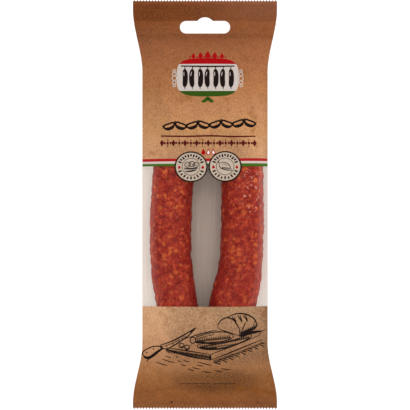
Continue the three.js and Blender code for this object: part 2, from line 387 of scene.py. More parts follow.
def kraftFilm():
    # a ramp of colours along the pack, times light and dark of four sizes, less painted shade in patches,
    # in the bottom crease and in the valleys of the crimps' ribs; then flecks, stains and stripes are laid
    # over it
    material, wire = newMaterial("kraft_print")
    place = wire.place()
    x, y = parts(wire, place)[:2]
    stops = [(along / 260 + 0.5, paint(*tone)) for along, tone in kraft["stops"]]
    colour = wire.node("ValToRGB", {"stops": stops}, {"Fac": y * (1 / 0.26) + 0.5})
    blotch = wire.noise(place, 16 * mm, 4, 0.6)
    cloud = wire.noise(place, 6 * mm, 3, 0.6)
    grain = wire.noise(place, kraft["grain"], 2, 0.7)
    fibre = wire.noise(wire.stretched(place, (1, 0.6, 1), 0.5), 0.9 * mm, 3, 0.65)
    light = blotch * 0.36 + cloud * 0.30 + grain * 1.05 + fibre * 0.9 - 0.3
    light += x * (y - 0.025) * kraft["slant"] + x * (-0.108 - y).clamp() * kraft["footSlant"]
    # the bottom crease: a band along the fold that is painted darker, as shade
    rise = pack["foldRise"]
    arc = y - pack["foldLevel"] - rise + x * x * (rise / 0.0449**2)
    crease = arc.band(-1.4 * mm, 0.6 * mm, 1.1 * mm)
    away = wire.math("ABSOLUTE", y - 0.0025)  # both crimps begin 127.5 mm from here
    # painted shade in the valleys of the crimps' ribs
    ribs = wire.math("SINE", y * (2 * math.pi / seal["ribPitch"])) * 0.5 + 0.5
    ribs *= away.ease(0.1265, 0.128) + y.band(0.1164, 0.1274, 0.3 * mm)
    colour = wire.scaled(colour, light - kraftPaintedShade(wire, x, y) - crease * 0.1 - ribs * 0.2)
    veil = x.ease(-0.02, 0.04) * y.ease(0.108, 0.124)
    nearest, own = wire.cells(place, kraft["fleckSize"])
    fleck = own.ease(0.86, 0.92) * (1 - nearest.ease(0.1, 0.34))
    stain = wire.noise(place, 9 * mm, 3, 0.6).ease(0.56, 0.72)
    # a brown stain along the bottom crease, partly painted shade of the crease
    creaseStainAndShade = crease * (blotch + x * 6).ease(0.42, 0.66)
    level = y - (x + 0.03) * kraft["stripeSlope"] - windowTop
    coats = [(kraft["veil"], veil * 0.22), (kraft["fleck"], fleck * 0.55),
             (kraft["stain"], (stain * 0.4 + creaseStainAndShade * 0.5).clamp())]
    coats += [(tone, level.band(low * mm, high * mm, 0.08 * mm))
              for low, high, tone in kraft["stripes"]]
    for tone, share in coats:
        colour = wire.tint(colour, paint(*tone), share)
    return principled(material, wire, {
        "Base Color": colour, "Roughness": 0.5 + grain * 0.12, "Specular IOR Level": 0.06,
        "Normal": wire.relief(0.12, 0.05 * mm, grain * 0.5 + fibre * 0.5)})


pale = {
    "light": (208, 193, 180),
    "dark": (178, 162, 148),
    # painted light, emitted by the film: faint in the gap, strong in the margins
    "gapPaintedGlow": (0.025, 0.024, 0.022, 1),
    "marginPaintedGlow": (0.46, 0.485, 0.45, 1),
}


def paleFilm():
    # the pale ink on the print's inner side: a mix of two tones by long streaks and blotches, and painted
    # light, an emission that stands in for light coming through the film, faint in the gap and strong by
    # the attribute margin
    material, wire = newMaterial("pale_inside")
    place = wire.place()
    streak = wire.noise(wire.stretched(place, (1, 0.03, 1)), 1.1 * mm, 2, 0.5)
    blotch = wire.noise(place, 9 * mm, 2, 0.5)
    colour = wire.tint(paint(*pale["light"]), paint(*pale["dark"]), streak * 0.7 + blotch * 0.3)
    margin = wire.node("Attribute", {"attribute_name": "margin"}, out="Fac")
    # painted light: the film's own emission, mixed by the margin
    paintedGlow = wire.tint(pale["gapPaintedGlow"], pale["marginPaintedGlow"], margin)
    return principled(material, wire, {
        "Base Color": colour, "Roughness": 0.55 + blotch * 0.1, "Specular IOR Level": 0.2,
        "Normal": wire.relief(0.2, 0.1 * mm, streak),
        "Emission Color": wire.scaled(paintedGlow, 1.08 - streak * 0.16), "Emission Strength": 1.0})


clear = {"tone": (238, 232, 226), "edgeGloss": 0.3, "haze": 0.006}


def clearFilm():
    # mostly see-through, with gloss that grows towards glancing angles and a little haze
    material, wire = newMaterial("clear_film")
    longPlace = wire.stretched(wire.place(), (1, 0.25, 1))
    haze = wire.noise(longPlace, 6 * mm, 3, 0.6)
    bump = wire.relief(0.35, 0.25 * mm, wire.noise(longPlace, 3.2 * mm, 2, 0.5))
    through = wire.node("BsdfTransparent", {}, {"Color": (0.985, 0.98, 0.975, 1)})
    gloss = wire.node("BsdfPrincipled", {}, {
        "Base Color": paint(*clear["tone"]), "Roughness": 0.1 + haze * 0.1, "Normal": bump})
    facing = wire.node("LayerWeight", {}, {"Blend": 0.5, "Normal": bump}, out="Facing")
    share = (wire.math("POWER", facing, 4.0) * clear["edgeGloss"] + haze * clear["haze"]).clamp()
    return finishMaterial(material, wire.node("MixShader", {}, {0: share, 1: through, 2: gloss}))


stick = {
    "radius": 13.2 * mm,
    "axis": [  # mm, from the left end round the bend to the right end, seen from above
        (-14.4, -95), (-18.2, -61), (-20.5, -46), (-22.1, -20), (-20.2, 20), (-18.9, 56),
        (-13.2, 71.5), (1, 78), (15.2, 71.5),
        (21.3, 56), (23.4, 20), (23.7, -20), (21.5, -46), (18.1, -61), (12.6, -96),
    ],
    "bendLift": 1.4 * mm,  # the bend lies on the back seam
    "liftRange": (38, 66),
    "dome": 15 * mm,
    "neck": 6 * mm,
    "neckRadius": 1.8 * mm,
    "tail": 5 * mm,
    "tailRadius": 3.2 * mm,
    "gapSideShade": (0.68, 0.88),  # painted shade on the flank that faces the gap, where the casing leaves the film
    "outerFlankLight": (0.62, 0.96),  # painted light on the outer flank, where the film's edge lies on it
    "rings": 620,
    "around": 120,
    "meatGrain": 1.3 * mm,  # size of the cells that each sort of crumb is picked from
    "lardGrain": 2.2 * mm,
    "fatGrain": 3.6 * mm,
    "meatTones": [(0.3, (136, 26, 17)), (0.45, (157, 38, 25)), (0.58, (175, 53, 34)),
                  (0.72, (204, 86, 48))],
}


def stickAxis(count):
    # the smooth line through the axis places, raised at the bend by a smooth step along Y
    flat = np.array(stick["axis"], float)
    lift = stick["bendLift"] * smoothStep(flat[:, 1], *stick["liftRange"])
    return smoothLine(np.column_stack([flat * mm, midHeight + lift]), count)


def breadthAt(x, y):
    # the stick's breadth over its depth: the right leg swells towards the window's foot
    foot = smoothStep(-y, 24 * mm, 64 * mm) * smoothStep(y, -92 * mm, -72 * mm)
    return 1 + smoothStep(x, 0, 16 * mm) * (0.03 + 0.09 * foot)


def stickProfile(fromTip):
    # the tail opens from the clip, the neck is straight, the dome swells like a quarter
    # ellipse and the rest is a tube
    tail, neck = stick["tail"], stick["neck"]
    flare = stick["tailRadius"] + (stick["neckRadius"] - stick["tailRadius"]) * fromTip / tail
    rise = np.clip((fromTip - tail - neck) / stick["dome"], 0, 1)
    dome = stick["radius"] * np.sqrt(1 - (1 - rise) ** 2)
    body = np.maximum(dome, stick["neckRadius"])
    return np.where(fromTip < tail, flare, body)


def makeSausage(material):
    # a tube carried along the axis: its radius is the profile, plus slow swellings, plus
    # a pebbly grain, and the casing's pleats near the clips are a cosine round the tube
    axis = stickAxis(900)
    length = np.linalg.norm(np.diff(axis, axis=0), axis=1).sum()
    beyond = stick["tail"] + stick["neck"]
    place = np.linspace(-beyond, length + beyond, stick["rings"])
    inside = np.clip(place, 0, length) / length * (len(axis) - 1)

    def alongAxis(table):
        return np.stack([np.interp(inside, np.arange(len(axis)), column) for column in table.T], 1)

    tangent = alongAxis(unit(np.gradient(axis, axis=0)))
    centre = alongAxis(axis) + tangent * (place - np.clip(place, 0, length))[:, None]
    across = unit(np.stack([tangent[:, 1], -tangent[:, 0], np.zeros(len(place))], 1))
    up = np.cross(across, tangent)
    angle = np.linspace(0, 2 * np.pi, stick["around"], endpoint=False)
    aside = across * breadthAt(centre[:, 0], centre[:, 1])[:, None]
    outward = aside[:, None] * np.cos(angle)[:, None] + up[:, None] * np.sin(angle)[:, None]
    fromTip = np.minimum(place - place[0], place[-1] - place)
    radius = np.repeat(stickProfile(fromTip)[:, None], stick["around"], 1)
    skin = centre[:, None] + outward * radius[..., None]
    full = smoothStep(fromTip, beyond, beyond + stick["dome"])[:, None]
    lump = 0.22 * softNoise(skin, 21 * mm, 3) + 0.26 * softNoise(skin, 8 * mm, 5)
    pebble = 0.8 * (0.45 - grainNoise(skin, 4 * mm, 11)) + 0.3 * softNoise(skin, 2.2 * mm, 7)
    relief = lump + pebble + 0.08 * softNoise(skin, 1 * mm, 9)
    radius = radius + np.minimum(relief - 0.1, 0.25 + 0.25 * relief) * full * mm
    gather = smoothStep(fromTip, 0, beyond) * (1 - smoothStep(fromTip, beyond, beyond + 11 * mm))
    pleat = 0.16 * gather + 0.2 * (1 - smoothStep(fromTip, 0, stick["tail"]))
    radius = radius * (1 + pleat[:, None] * np.cos(9 * angle + 1.3 * np.sin(3 * angle)))
    solid = closedTube(centre[:, None] + outward * radius[..., None])
    sausage = addPiece("sausage_stick", solid, [material], "sausage_casing", "sausage", 80)
    # how far each point turns towards the gap between the legs (1) or away from it (-1)
    flank = -np.sign(centre[:, 0])[:, None] * outward[..., 0]
    addNumbers(sausage, "flank", np.append(flank.ravel(), [0, 0]))


def sausageSkin():
    # lean, fat, crumbs and pepper are cells picked at random from crushed patterns, each
    # fading out away from its own point; veins are the borders between such cells
    material, wire = newMaterial("paprika_casing")
    place = wire.place()
    x, y, z = parts(wire, place)
    drift = wire.noise(place, 2.8 * mm, 3, 0.6, out=1)
    drift = wire.node("VectorMath", {"operation": "SUBTRACT"}, {0: drift, 1: (0.5, 0.5, 0.5)})
    drift = wire.scaled(drift, 4.4 * mm)
    crushed = wire.node("VectorMath", {"operation": "ADD"}, {0: place, 1: drift})

    def grains(size, low, high, core, edge):
        away, own = wire.cells(crushed, size)
        return own.band(low, high, 0.01) * (1 - away.ease(core, edge))

    def cracks(size, width):
        border = wire.node("TexVoronoi", {"feature": "DISTANCE_TO_EDGE"},
                           {"Vector": crushed, "Scale": 1 / size})
        return 1 - border.ease(0.0, width)

    stops = [(share, paint(*tone)) for share, tone in stick["meatTones"]]
    colour = wire.node("ValToRGB", {"stops": stops}, {"Fac": wire.noise(crushed, 3.4 * mm, 2, 0.5)})
    fine = wire.noise(place, 1.1 * mm, 2, 0.5)
    rich = y.ease(-0.075, -0.005) * 0.55 + 0.45  # fewer crumbs of fat towards the ends
    fat = grains(stick["fatGrain"], 0.78, 1.2, 0.2, 0.6)
    crumb = grains(stick["meatGrain"], 0.74, 1.2, 0.15, 0.5)
    veins = cracks(3.3 * mm, 0.08) * 0.42 + cracks(1.7 * mm, 0.1) * 0.14
    for tone, share in (
            (paint(112, 12, 8), grains(2.8 * mm, 0.0, 0.26, 0.2, 0.6) * 0.66),
            (wire.tint(paint(216, 84, 38), paint(240, 132, 64), fine), fat * rich * 0.84),
            (paint(216, 88, 44), grains(stick["lardGrain"], 0.7, 1.2, 0.2, 0.6) * rich * 0.7),
            (paint(212, 86, 46), crumb * 0.5),
            (paint(62, 36, 30), grains(2.4 * mm, 0.3, 0.345, 0.2, 0.4) * 0.8),
            (paint(84, 10, 8), veins)):
        colour = wire.tint(colour, tone, share)
    colour = wire.scaled(colour, 0.85 + fine * 0.26)
    bloom = wire.noise(place, 11 * mm, 4, 0.6).ease(0.52, 0.76)
    flank = wire.node("Attribute", {"attribute_name": "flank"}, out="Fac")
    # the colour of the painted shade on the flank towards the gap
    gapShadeTone = wire.tint(paint(140, 8, 0), paint(220, 84, 22), (fat * 0.8 + crumb * 0.6).clamp())
    # painted highlights: whitish glints on the upper side of the legs, most in a patch on the right leg
    glintPatch = 1 - wire.awayFrom(x, y, (29 * mm, 9 * mm), (9 * mm, 20 * mm)).ease(0.3, 1.0)
    paintedGlint = wire.noise(place, 2.4 * mm, 3, 0.65).ease(0.58, 0.66)
    paintedGlint = paintedGlint * (glintPatch + 0.06) * z.ease(0.014, 0.02)
    # the bloom, then painted shade towards the gap, painted light on the outer flank and painted highlights
    for tone, share in (
            (paint(176, 84, 74), bloom * 0.14),
            (gapShadeTone, flank.ease(*stick["gapSideShade"]) * 0.56),
            (paint(206, 104, 90), (flank * -1).ease(*stick["outerFlankLight"]) * 0.24),
            (paint(232, 176, 160), (paintedGlint * 0.6).clamp())):
        colour = wire.tint(colour, tone, share)
    wet = wire.noise(place, 1.2 * mm, 3, 0.6).ease(0.58, 0.7)
    return principled(material, wire, {
        "Base Color": colour, "Roughness": 0.36 + fine * 0.2, "Specular IOR Level": 0.1,
        "Normal": wire.relief(0.6, 0.3 * mm, fine * 0.5 - veins * 1.2 + fat * 0.5 + crumb * 0.3),
        "Coat Weight": wet * 0.5, "Coat Roughness": 0.18})


pack = {
    "bodyHalf": 39.8 * mm,  # half width of the filled tube
    "headerFlare": (84 * mm, 124 * mm),
    "bottomFlare": (88 * mm, 126 * mm),
    "film": 0.12 * mm,
    "clearance": 0.5 * mm,  # room for the sausage's grain
    "bayHalf": 7 * mm,  # the bay in the back that the folded seam lies in
    "bayRise": 1.1 * mm,
    "flatSpread": 0.3 * mm,
    "foldLevel": -119.9 * mm,  # where the loose film folds at the bottom seal, and how far
    "foldRise": 4.6 * mm,  # the fold climbs in the middle
    "frontSteps": (0.55 * mm, 151),  # distance of the rows, and how many columns
    "backSteps": (1.1 * mm, 121),
}


def halfWidth(y):
    # the tube's half width, growing to that of the seals by a smooth step at each end
    up = smoothStep(y, *pack["headerFlare"])
    down = smoothStep(-y, *pack["bottomFlare"])
    return pack["bodyHalf"] + (sealHalf - pack["bodyHalf"]) * (up + down)


def midSurface(x, y):
    # height of the creases and seals: flat, but for a slow wave in each seal and for the
    # header's lower corners, which curl back
    half = halfWidth(y)
    wave = 0.35 * np.sin(x / (9 * mm) + 0.6) * smoothStep(y, 104 * mm, 128 * mm)
    wave = wave + 0.4 * np.sin(x / (8.5 * mm) + 2.0) * smoothStep(-y, 112 * mm, 128 * mm)
    curl = -1.1 * bell(np.abs(x), half, 6 * mm) * bell(y, 108 * mm, 8 * mm)
    return midHeight + (wave + curl) * mm


def drumskin(lowest, highest, sweeps=500):
    # a film stretched over what lies inside: every free point moves towards the mean of
    # its four neighbours, and past it a little, and is held between lowest and highest
    height = np.clip(np.full(lowest.shape, pack["film"]), lowest, highest)
    rows, columns = np.indices(height.shape)
    inner = height[1:-1, 1:-1]
    for sweep in range(2 * sweeps):
        mean = (height[:-2, 1:-1] + height[2:, 1:-1] + height[1:-1, :-2] + height[1:-1, 2:]) / 4
        moved = np.clip(inner + 1.85 * (mean - inner), lowest[1:-1, 1:-1], highest[1:-1, 1:-1])
        turn = ((rows + columns)[1:-1, 1:-1] + sweep) % 2 == 0
        inner[turn] = moved[turn]
    return height


gridY = np.linspace(bottomTop, headerFoot, 231)
gridU = np.linspace(-1, 1, 81)
axisPoints = stickAxis(320)


def reachOf(side, radius):
    # how far a tube round the sausage's axis stands out from the plane of the creases
    y = gridY[:, None]
    x = gridU[None, :] * halfWidth(y)
    reach = np.full(x.shape, -1.0)
    for px, py, pz in axisPoints:
        inside = radius**2 - ((x - px) ** 2 + (y - py) ** 2) / breadthAt(px, py) ** 2
        stand = side * (pz - midHeight) + np.sqrt(np.maximum(inside, 0))
        reach = np.maximum(reach, np.where(inside > 0, stand, -1.0))
    return reach, x


def filmHeights():
    # the front film over the sausage, and the back film under it, which also reaches down
    # to the floor or to the bay's roof
    tube = stick["radius"] + pack["clearance"] + pack["film"]
    reach = reachOf(1, tube)[0]
    front = drumskin(reach, np.full(reach.shape, 1.0))
    reach, x = reachOf(-1, tube + pack["flatSpread"])
    floorDepth = midHeight - 0.02 * mm
    highest = np.where(np.abs(x) < pack["bayHalf"], floorDepth - pack["bayRise"], floorDepth)
    return front, drumskin(np.minimum(reach, highest), highest)


frontHeights, backHeights = filmHeights()


def gridPlace(x, y):
    # row and column of the height grids at a place on the pack
    row = (y - gridY[0]) / (gridY[-1] - gridY[0]) * (len(gridY) - 1)
    return row, (x / halfWidth(y) + 1) / 2 * (len(gridU) - 1)


def filmFolds(x, y):
    # a soft crease where the loose film meets the bottom seal, and long pleats, a sine of
    # x, that fade away from both seals
    share = x / halfWidth(y)
    arc = pack["foldLevel"] + pack["foldRise"] * (1 - share**2)
    fold = -0.5 * bell(y, arc, 1.7 * mm) * (1 - share**4)
    pleats = 0.35 * np.sin(x / (4.2 * mm) + 1.4 * np.sin(x / (11 * mm)))
    pleats = pleats * (bell(y, headerFoot, 13 * mm) + 0.7 * bell(y, bottomTop, 14 * mm))
    calm = smoothStep(y, bottomTop, bottomTop + 5 * mm)
    calm = calm * (1 - smoothStep(y, headerFoot - 6 * mm, headerFoot))
    return (fold + pleats * calm * (1 - share**2)) * mm


def frontTop(x, y):
    # outer face of the front film
    return midSurface(x, y) + sampleSoft(frontHeights, *gridPlace(x, y)) + filmFolds(x, y)


def backUnder(x, y):
    # outer face of the back film
    depth = sampleSoft(backHeights, *gridPlace(x, y)) + 0.6 * filmFolds(x, y)
    return np.maximum(midSurface(x, y) - depth, 0.0)


def filmGrid(heightAt, fromY, toY, step, columns):
    # points on a film: rows at even steps along the pack, columns from crease to crease
    y = np.linspace(fromY, toY, int(round((toY - fromY) / step)) + 1)[:, None]
    x = np.linspace(-1, 1, columns)[None, :] * halfWidth(y)
    y = y + 0 * x
    return np.stack([x, y, heightAt(x, y)], -1)


def makeFilm(kraftSide, paleSide, clearSide):
    # the front film in three zones and the back film, each a sheet on its own grid
    printed = ([kraftSide, paleSide], "printed_film")
    zones = [("front_upper_print", windowTop, headerFoot, *printed, "upper_wrap"),
             ("front_window", windowBottom, windowTop, [clearSide], "clear_film", "window_film"),
             ("front_lower_print", bottomTop, windowBottom, *printed, "lower_wrap")]
    for name, fromY, toY, materials, slot, node in zones:
        front = filmGrid(frontTop, fromY, toY, *pack["frontSteps"])
        addPiece(name, closedSheet(front, pack["film"]), materials, slot, node)
    under = filmGrid(backUnder, bottomTop, headerFoot, *pack["backSteps"])[:, ::-1]
    solid = closedSheet(under, pack["film"])
    back = addPiece("back_print", solid, *printed, "back_wrap")
    # the margins outside the sausage, where the pale film's painted light is strongest
    plan = solid[0][:, :2]
    away = np.full(len(plan), 1.0)
    for place in axisPoints[:, :2]:
        away = np.minimum(away, np.linalg.norm(plan - place, axis=1) / breadthAt(*place))
    margin = smoothStep(away, stick["radius"] - 4 * mm, stick["radius"] - 0.5 * mm)
    addNumbers(back, "margin", margin * smoothStep(np.abs(plan[:, 0]), 24 * mm, 28 * mm))


seal = {
    "teeth": 48,
    "perTooth": 4,
    "toothDepth": 0.95 * mm,
    "ribPitch": 1.14 * mm,
    "ribHeight": 0.16 * mm,
    "headerBands": [(105.4, 108.6), (116.4, 127.4)],  # mm, where the header is crimped
    "bottomBands": [(-129.2, -125.4)],
    "slotY": 112.7 * mm,
    "slotHalf": (16 * mm, 4 * mm),
    "humpRadius": 6.3 * mm,
    "finHalf": 5.5 * mm,
    "finRibHeight": 0.08 * mm,
    "finGap": 0.15 * mm,  # between the back film and the folded seam
}


def crimp(y, bands):
    # ribs across the pack: a cosine along it, inside the bands only
    inside = 0
    for low, high in bands:
        start = smoothStep(y, low * mm, (low + 0.5) * mm)
        inside = inside + start * (1 - smoothStep(y, (high - 0.5) * mm, high * mm))
    return seal["ribHeight"] * inside * np.cos(2 * np.pi * y / seal["ribPitch"])


def sealGrid(foot, edge, bands):
    # a plate from the foot to a sawn edge: sharp tips, and valleys rounded by a power
    u = np.linspace(-1, 1, seal["teeth"] * seal["perTooth"] + 1)[None, :]
    phase = np.mod((u + 1) / 2 * seal["teeth"], 1)
    tooth = (1 - np.abs(2 * phase - 1)) ** 1.4
    outward = math.copysign(1, edge)
    sawn = edge - outward * seal["toothDepth"] * (1 - tooth)
    rows = int(abs(edge - foot) / (0.2 * mm))
    t = np.linspace(0, 1, rows + 1)[:, None]
    y = foot + (sawn - foot) * t
    x = u * halfWidth(y)
    z = midSurface(x, y) + pack["film"] + crimp(y, bands)
    grid = np.stack([x, y, z], -1)
    return grid if outward > 0 else grid[::-1]


def slotCutter():
    # a prism on the slot's outline: two half circles for its ends and an arc for its hump
    (halfLong, halfHigh), hump, y0 = seal["slotHalf"], seal["humpRadius"], seal["slotY"]
    rise = math.asin(halfHigh / hump)
    end = halfLong - halfHigh
    outline = []
    for middle, radius, start, stop in (
            (end, halfHigh, -np.pi / 2, np.pi / 2), (0, hump, rise, np.pi - rise),
            (-end, halfHigh, np.pi / 2, 3 * np.pi / 2)):
        turn = np.linspace(start, stop, 24)
        outline.append(np.stack([middle + radius * np.cos(turn), radius * np.sin(turn)], 1))
    outline = np.concatenate(outline)
    count = len(outline)
    ring = np.column_stack([outline[:, 0], outline[:, 1] + y0, np.full(count, midHeight)])
    points = np.concatenate([ring - [0, 0, 5 * mm], ring + [0, 0, 5 * mm]])
    at = np.arange(count)
    after = np.roll(at, -1)
    walls = np.stack([at, after, after + count, at + count], 1).tolist()
    mesh = bpy.data.meshes.new("slot_cutter")
    mesh.from_pydata(points, [], walls + [at[::-1].tolist(), (at + count).tolist()])
    cutter = bpy.data.objects.new("slot_cutter", mesh)
    bpy.context.scene.collection.objects.link(cutter)
    return cutter


def cutOut(piece, cutter):
    # the cutter's volume taken away from the piece
    modifier = piece.modifiers.new("cut", "BOOLEAN")
    modifier.operation = "DIFFERENCE"
    modifier.solver = "EXACT"
    modifier.object = cutter
    bpy.context.view_layer.update()
    shaped = bpy.data.meshes.new_from_object(
        piece.evaluated_get(bpy.context.evaluated_depsgraph_get()))
    piece.modifiers.clear()
    piece.data = shaped
    bpy.data.objects.remove(cutter)
    # the cut leaves hair-thin faces along its rim, which are merged away
    work = bmesh.new()
    work.from_mesh(shaped)
    bmesh.ops.remove_doubles(work, verts=work.verts, dist=0.02 * mm)
    bmesh.ops.dissolve_degenerate(work, edges=work.edges, dist=0.02 * mm)
    bmesh.ops.triangulate(work, faces=work.faces, ngon_method="BEAUTY")
    work.to_mesh(shaped)
    work.free()
    shadeSmooth(shaped, 40)


def makeSeals(kraftSide):
    # two crimped plates, and the long back seam: a strip under the back film, ribbed across
    plate = 2 * pack["film"]
    printed = ([kraftSide], "printed_film")
    header = closedSheet(sealGrid(headerFoot, topEdge, seal["headerBands"]), plate)
    cutOut(addPiece("header_crimp", header, *printed, "header_seal"), slotCutter())
    bottom = closedSheet(sealGrid(bottomTop, bottomEdge, seal["bottomBands"]), plate)
    addPiece("bottom_crimp", bottom, *printed, "bottom_seal")
    y = np.linspace(bottomTop, headerFoot, 900)[:, None]
    x = np.linspace(seal["finHalf"], -seal["finHalf"], 13)[None, :]
    x, y = x + 0 * y, y + 0 * x
    ribs = seal["finRibHeight"] * np.cos(2 * np.pi * y / seal["ribPitch"])
    z = np.maximum(backUnder(x, y) - seal["finGap"] - plate + ribs, 0.02 * mm)
    addPiece("back_fin", closedSheet(np.stack([x, y, z], -1), plate), *printed, "back_fin_seal")


def inkMaterial(name, tone):
    # two near shades of the ink, mixed by a fine mottle: it lies thinner here and there
    material, wire = newMaterial("ink_" + name)
    mottle = wire.noise(wire.place(), 0.8 * mm, 2, 0.6)
    thick = paint(*[part * 0.94 for part in tone])
    thin = paint(*[min(255, part * 1.1 + 3) for part in tone])
    return principled(material, wire, {
        "Base Color": wire.tint(thick, thin, mottle), "Roughness": 0.5 + mottle * 0.1,
        "Specular IOR Level": 0.06})


def ribbon(line, halfWidths, columns=2):
    # a strip: the line moved sideways, square to its own direction, by up to a half width
    step = np.gradient(line, axis=0)
    sideways = unit(np.stack([step[:, 1], -step[:, 0]], 1))
    across = np.linspace(-1, 1, columns)
    offset = np.broadcast_to(halfWidths, len(line))[:, None] * across
    return line[:, None, :] + sideways[:, None, :] * offset[..., None]


def pen(points, width, count=22, closed=False, taper=0.35):
    # a pen stroke whose width swells from its ends like half a sine
    line = smoothLine(points, count, closed)
    swell = 1 if closed else taper + (1 - taper) * np.sin(np.pi * np.linspace(0.04, 0.96, count))
    return ribbon(line, width / 2 * swell)


def disc(cx, cy, rx, ry=None, rows=25, columns=17):
    # an ellipse as a strip up its middle
    t = np.sin(np.linspace(-1, 1, rows) * np.pi / 2 * 0.995)
    line = np.stack([np.full(rows, float(cx)), cy + (ry or rx) * t], 1)
    return ribbon(line, rx * np.sqrt(1 - t**2), columns)


def dots(places, radius, rows=7):
    # small discs
    return [disc(x, y, radius, rows=rows, columns=5) for x, y in places]


def ring(cx, cy, rx, ry, width, count=64):
    # an ellipse's outline
    turn = np.linspace(0, 2 * np.pi, count)
    return ribbon(np.stack([cx + rx * np.cos(turn), cy + ry * np.sin(turn)], 1), width / 2)


def drop(cx, cy, radius, height, rows=13, columns=7):
    # pointed at the top: half width 2 t sqrt(1 - t^2), t running down from the point
    t = np.linspace(0.02, 0.995, rows)
    line = np.stack([np.full(rows, float(cx)), cy + height * (0.5 - t)], 1)
    return ribbon(line, 2 * radius * t * np.sqrt(1 - t**2), columns)


def hatch(start, end, slant, width, count, spread=0.0):
    # short parallel strokes set along a line; every other one is shorter by spread
    steps = np.linspace(0, 1, count)[:, None]
    feet = np.asarray(start) * (1 - steps) + np.asarray(end) * steps
    marks = []
    for k, foot in enumerate(feet):
        reach = np.asarray(slant) * (1 - spread * (k % 2))
        marks.append(pen([foot, foot + reach * 0.5, foot + reach], width, 6))
    return marks


inks = {
    "dark": (24, 13, 9),
    "maroon": (80, 12, 14),
    "red": (160, 2, 8),
    "green": (46, 76, 10),
    "cream": (197, 185, 177),
    "stamp": (190, 171, 153),
    "white": (240, 228, 222),
}
inkMaterials = {name: inkMaterial(name, tone) for name, tone in inks.items()}
layers = {"under": 0.05 * mm, "over": 0.09 * mm, "top": 0.13 * mm}  # heights over the film


def addInk(name, shapes, tone, level, thickness=0.03 * mm):
    # flat shapes in mm, laid on the front film
    points, faces, start = [], [], 0
    for shape in shapes:
        flat = shape * mm
        z = frontTop(flat[..., 0], flat[..., 1]) + layers[level]
        solid = closedSheet(np.concatenate([flat, z[..., None]], -1), thickness)
        points.append(solid[0])
        faces.append(solid[1] + start)
        start += len(solid[0])
    solid = (np.concatenate(points), np.concatenate(faces), None)
    addPiece(name, solid, [inkMaterials[tone]], "printed_film")


plaque = {
    "centre": (1.7, 80.4),
    "half": (19.6, 12.3),
    "roundness": 3.6,
    "caps": (8.5, -8.8),  # where the red ends above and the green begins below
    "spacing": 4.85,
    "sausageHalf": 1.62,
    "beads": [(4.2, 0.8), (2.1, 1.15), (-0.6, 1.4), (-3.3, 1.15), (-5.4, 0.8)],
}


def plaqueSlice(low, high, rows):
    # a superellipse between two heights, as a strip up its middle
    (cx, cy), (rx, ry) = plaque["centre"], plaque["half"]
    y = np.linspace(max(low, -ry * 0.998), min(high, ry * 0.998), rows)
    half = rx * (1 - np.abs(y / ry) ** plaque["roundness"]) ** (1 / plaque["roundness"])
    return ribbon(np.stack([np.full(rows, cx), cy + y], 1), half, 41)


def drawPlaque():
    # seven sausages hang from a pole, with drops above, leaves below and beads at the sides
    (cx, cy), (rx, ry) = plaque["centre"], plaque["half"]
    high, low = plaque["caps"]
    addInk("plaque_field", [plaqueSlice(low, high, 21)], "cream", "under")
    addInk("plaque_crown", [plaqueSlice(high, ry, 9)], "red", "under")
    addInk("plaque_foot", [plaqueSlice(-ry, low, 9)], "green", "under")
    bars = [pen([(cx - 17, cy + 7.2), (cx, cy + 6.8), (cx + 17, cy + 7.2)], 1.0, 30, taper=0.7)]
    glints = []
    swell = plaque["sausageHalf"] * (1 - np.linspace(-0.98, 0.98, 17) ** 4) ** 0.5
    for k in range(7):
        x, sway = cx + plaque["spacing"] * (k - 3), (-1) ** k
        body = smoothLine([(x, cy + 5.2), (x + 0.45 * sway, cy - 0.4), (x, cy - 6.4)], 17)
        bars += [ribbon(body, swell, 5),
                 pen([(x, cy + 7), (x + 0.1, cy + 6), (x, cy + 5)], 0.6, 6),
                 pen([(x, cy - 6.2), (x + 0.2, cy - 7.6)], 0.55, 5)]
        glints.append(pen([(x - 0.5, cy + 3.4), (x - 0.7 + 0.3 * sway, cy + 0.6)], 0.45, 7))
    addInk("plaque_sausages", bars, "dark", "over")
    addInk("plaque_glints", glints, "cream", "top")
    sparks = []
    for k in (-2, -1, 0, 1, 2):
        less = abs(k)
        sparks.append(drop(cx + 4.5 * k, cy + ry + 2.3 - 0.35 * less, 1.75 - 0.25 * less, 4.6 - 0.5 * less))
    sparks += dots([(cx + x, cy + ry + 0.7) for x in (-11.2, -6.75, -2.25, 2.25, 6.75, 11.2)], 0.55)
    addInk("plaque_sparks", sparks, "red", "under")
    leaves, beads = [disc(cx, cy - ry - 1.5, 0.9, 1.5, 9, 5)], []
    swell = 1.1 * np.sin(np.pi * np.linspace(0.03, 0.97, 13)) ** 0.8
    for side in (-1, 1):
        line = smoothLine([(cx + side * 0.4, cy - ry - 0.5), (cx + side * 1.9, cy - ry - 2.6),
                           (cx + side * 3.9, cy - ry - 3.4)], 13)
        leaves.append(ribbon(line, swell, 5))
        beads += [ring(cx + side * (rx + 1.5), cy + y, radius, radius, 0.45, 28)
                  for y, radius in plaque["beads"]]
    addInk("plaque_leaves", leaves, "green", "under")
    addInk("plaque_beads", beads, "cream", "under")


garland = {
    "from": (-22.6, 49.6),
    "to": (28.2, 51.6),
    "links": 8,
    "size": (3.4, 1.75),
    "width": 1.1,
    "tilt": 0.34,
}


